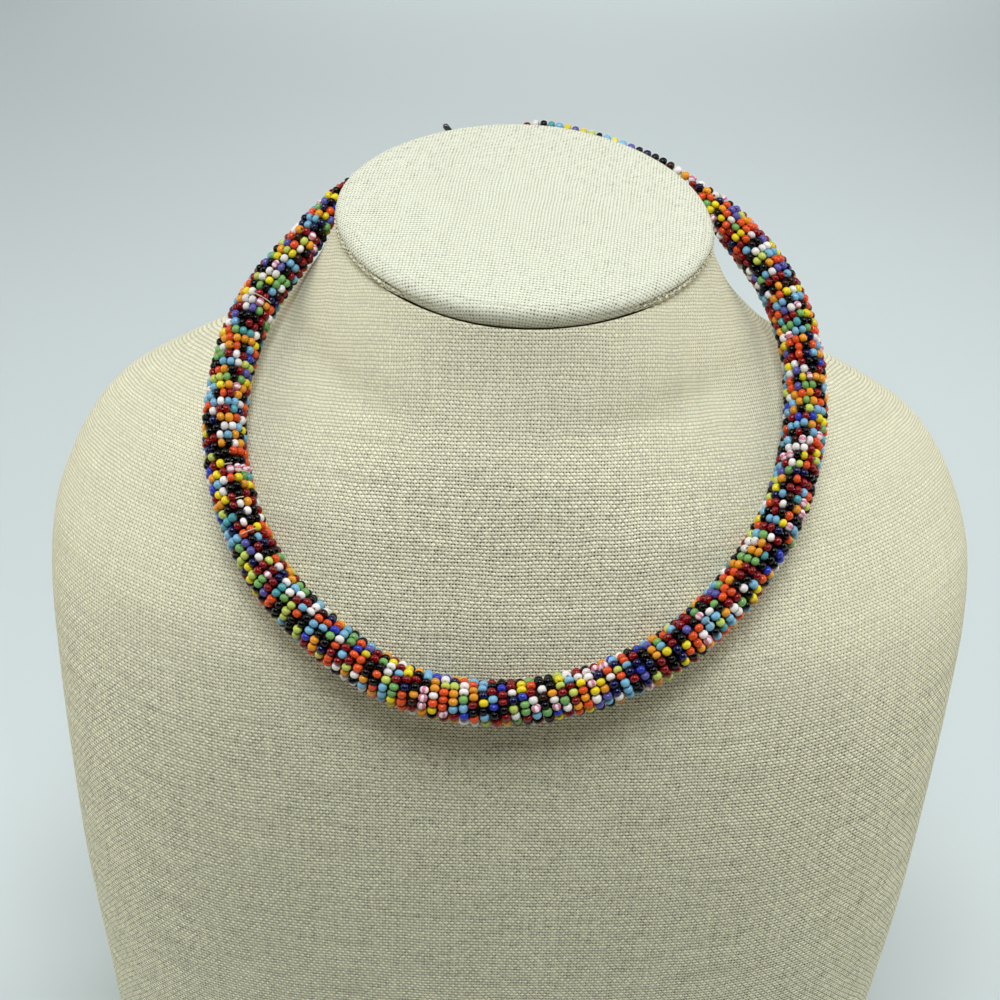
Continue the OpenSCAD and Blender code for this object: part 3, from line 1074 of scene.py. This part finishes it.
    def build_beads(self, beads: dict, rng: np.random.Generator) -> None:
        """Makes one piece for each glass, of all the beads that are made of it."""
        points, quads, stripe = self.bead_mesh()
        chosen = self.choose_glass(len(beads["centre"]), rng)
        tones = rng.random(len(chosen))
        turn = rng.uniform(0, 2 * math.pi, len(chosen))
        side = np.cross(beads["axis"], beads["outward"])
        x_axis = (np.cos(turn)[:, None] * beads["outward"] + np.sin(turn)[:, None] * side)
        y_axis = np.cross(beads["axis"], x_axis)
        frames = np.stack([x_axis, y_axis, beads["axis"]], 1)
        for number, glass in enumerate(BEAD_GLASSES):
            own = np.flatnonzero(chosen == number)
            sized = points[None] * beads["size"][own][:, None]
            placed = sized @ frames[own] + beads["centre"][own][:, None]
            faces = quads[None] + (np.arange(len(own)) * len(points))[:, None, None]
            piece = new_piece(f"{glass.name}_beads", placed.reshape(-1, 3),
                              faces.reshape(-1, 4).tolist(), glass.material())
            put_attribute(piece, "tone", "FLOAT", "POINT", np.repeat(tones[own], len(points)))
            put_attribute(piece, "stripe", "FLOAT", "POINT", np.tile(stripe, len(own)))
            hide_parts("bead_rope")
            LOG.info("%s: %d beads", piece.name, len(own))

    def build_core(self, winding: dict) -> None:
        """Makes the soft core that the beads are wound on."""
        keep = (winding["reach"] > winding["first"]) & (winding["reach"] < winding["last"])
        path = winding["route"][keep][::self.core_every]
        radii = winding["radius"][keep][::self.core_every] - self.core_depth * self.bead_d
        points, faces = tube(path, np.maximum(radii, self.core_least), self.core_sides)
        # The core's near-black finish is painted shade between the beads
        new_piece("rope_core", points, faces, SHADE_DARK_CORD.material())

    def build_thread(self, beads: dict) -> None:
        """Makes the thread that runs through every bead, from the ring to the clasp's eye."""
        near = (self.thread_d + self.ring_wire) / 2
        ring = self.in_clasp(np.add(self.ring_side, (near, 0, 0)))
        near = (self.thread_d + self.eye_wire) / 2
        eye = self.in_clasp(np.add(self.eye_side, (-near, 0, 0)))
        path = np.concatenate([ring[None], (beads["centre"][1:] + beads["centre"][:-1]) / 2,
                               eye[None]])
        points, faces = tube(path, np.full(len(path), self.thread_d / 2), self.thread_sides)
        piece = new_piece("stringing_thread", points, faces, BEADING_THREAD.material())
        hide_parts("right_strand", "left_strand")

    def build_lashings(self) -> None:
        """Ties the thread to the ring and to the clasp's eye, with some turns round each wire."""
        turn = np.linspace(0, self.lashing_turns * 2 * math.pi, self.lashing_points)[:, None]
        slide = (np.linspace(-1, 1, self.lashing_points) * self.lashing_half)[:, None]
        x, y, z = np.eye(3)
        for name, side, wire, aside, along in (
                ("ring_lashing", self.ring_side, self.ring_wire, z, y),
                ("eye_lashing", self.eye_side, self.eye_wire, y, z)):
            radius = (wire + self.thread_d) / 2 + self.lashing_gap
            path = self.in_clasp(np.array(side) + radius * np.cos(turn) * x
                                 + radius * np.sin(turn) * aside + slide * along)
            points, faces = tube(path, np.full(len(path), self.thread_d / 2), self.lashing_sides)
            new_piece(name, points, faces, BEADING_THREAD.material())

    def build_bare_thread(self, winding: dict) -> None:
        """Lays the thread on top of the beads where the photograph shows it."""
        for number, (place, first, last) in enumerate(BARE_THREAD):
            at = int(np.argmin(np.abs(winding["places"] - place)))
            angle = np.radians(np.linspace(first, last, self.bare_points))[:, None]
            outward = (np.cos(angle) * winding["across"][at] + np.sin(angle) * winding["above"][at])
            radius = winding["radius"][at] + (self.bead_d + self.thread_d) / 2
            path = winding["route"][at] + radius * outward
            points, faces = tube(path, np.full(len(path), self.bare_share * self.thread_d),
                                 self.lashing_sides)
            new_piece(f"bare_thread_{number + 1}", points, faces, BEADING_THREAD.material())

    def build(self) -> None:
        """Builds the beads, the core and the thread."""
        rng = np.random.default_rng(SEED)
        winding = self.wind()
        beads = self.place_beads(winding, rng)
        self.build_beads(beads, rng)
        self.build_core(winding)
        self.build_thread(beads)
        self.build_lashings()
        self.build_bare_thread(winding)


@dataclass
class Fastening:
    """The clasp and the end ring, which keep the model's own shapes."""

    nodes: tuple[str, ...] = ("lobster_clasp", "end_ring")

    def build(self) -> None:
        """Gives both metal pieces their plated finish."""
        material = GUNMETAL.material()
        for name in self.nodes:
            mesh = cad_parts[name].data
            mesh.materials.clear()
            mesh.materials.append(material)
            mesh.shade_smooth()
            LOG.info("%s: dressed", name)


@dataclass(frozen=True)
class Softbox:
    """A soft square studio light that faces the bust."""

    name: str
    place: tuple[float, float, float]
    size: float
    power: float
    colour: str = "#FFFCF7"
    aim: tuple[float, float, float] = (0.0, 0.0, 0.2)

    def build(self) -> None:
        """Adds the light, in metres and watts."""
        data = bpy.data.lights.new(self.name, "AREA")
        data.color = linear(self.colour)[:3]
        data.size = self.size
        data.energy = self.power
        light = bpy.data.objects.new(self.name, data)
        light.location = self.place
        ray = Vector(self.aim) - Vector(self.place)
        light.rotation_euler = ray.to_track_quat("-Z", "Y").to_euler()
        bpy.context.scene.collection.objects.link(light)


SOFTBOXES = (
    Softbox("key_softbox", (0.0, -0.45, 1.3), 0.5, 9.9, "#F8FBFF"),
    Softbox("overhead_softbox", (0.0, -0.1, 1.3), 1.6, 3.2, "#FBFDFF"),
    Softbox("upper_left_softbox", (-0.9, 0.1, 1.1), 0.6, 2.4),
    Softbox("upper_right_softbox", (0.9, 0.1, 1.1), 0.6, 2.8),
    Softbox("left_softbox", (-1.1, 0.1, 0.45), 0.7, 4.5),
    Softbox("right_softbox", (1.1, 0.1, 0.45), 0.7, 4.0),
    Softbox("back_softbox", (0.0, 1.3, 0.45), 0.8, 3.3, "#FFFFFF"),
)


@dataclass
class Studio:
    """A plain pale floor, soft light from above and the sides, and the camera."""

    target: Vector = field(default_factory=lambda: Vector((0.0005, -0.06097, 0.1931)))
    target_pixel: tuple[float, float] = (497.0, 704.0)
    frame_size: float = 1000.0
    distance: float = 0.43
    elevation: float = math.radians(31)
    azimuth: float = math.radians(1.5)
    roll: float = math.radians(2.4)
    lens: float = 70.0
    sensor: float = 36.0
    nearest: float = 0.01
    floor_half: float = 4.0
    room_colour: str = "#EEF3F6"
    room_light: float = 0.01

    def build_camera(self) -> None:
        """Puts the camera at the photograph's angle, with the collar's front at its place."""
        forward = Vector((-math.sin(self.azimuth) * math.cos(self.elevation),
                          math.cos(self.azimuth) * math.cos(self.elevation),
                          -math.sin(self.elevation)))
        level = Vector((math.cos(self.azimuth), math.sin(self.azimuth), 0))
        upright = level.cross(forward)
        right = level * math.cos(self.roll) + upright * math.sin(self.roll)
        up = upright * math.cos(self.roll) - level * math.sin(self.roll)
        focal = self.lens / self.sensor * self.frame_size
        aside = (self.target_pixel[0] - self.frame_size / 2) / focal
        below = (self.target_pixel[1] - self.frame_size / 2) / focal
        ray = (forward + right * aside - up * below).normalized()
        place = self.target - ray * self.distance
        data = bpy.data.cameras.new("camera")
        data.lens = self.lens
        data.sensor_width = self.sensor
        data.clip_start = self.nearest
        camera = bpy.data.objects.new("camera", data)
        camera.matrix_world = Matrix.Translation(place) @ Matrix(
            (right, up, -forward)).transposed().to_4x4()
        bpy.context.scene.collection.objects.link(camera)
        bpy.context.scene.camera = camera

    def build_floor(self) -> None:
        """Adds the pale floor."""
        half = self.floor_half
        mesh = bpy.data.meshes.new("floor")
        mesh.from_pydata([(-half, -half, 0), (half, -half, 0), (half, half, 0),
                          (-half, half, 0)], [], [(0, 1, 2, 3)])
        mesh.materials.append(SweepPaper().material())
        floor = bpy.data.objects.new("floor", mesh)
        bpy.context.scene.collection.objects.link(floor)

    def build_world(self) -> None:
        """Fills the room with a little pale light."""
        world = bpy.data.worlds.new("room")
        bpy.context.scene.world = world
        world.use_nodes = True
        world.node_tree.nodes.clear()
        light = add(world.node_tree, "ShaderNodeBackground",
                    {"Color": linear(self.room_colour), "Strength": self.room_light})
        add(world.node_tree, "ShaderNodeOutputWorld", {"Surface": light})

    def build(self) -> None:
        """Builds the camera, the floor and the lights."""
        self.build_camera()
        self.build_floor()
        self.build_world()
        for softbox in SOFTBOXES:
            softbox.build()
        bpy.context.scene.view_settings.view_transform = "Standard"


def main() -> None:
    """Builds everything in order."""
    logging.basicConfig(level=logging.INFO, format="%(message)s")
    Studio().build()
    NeckBust().build()
    BeadCollar().build()
    Fastening().build()


if __name__ == "__main__":
    main()
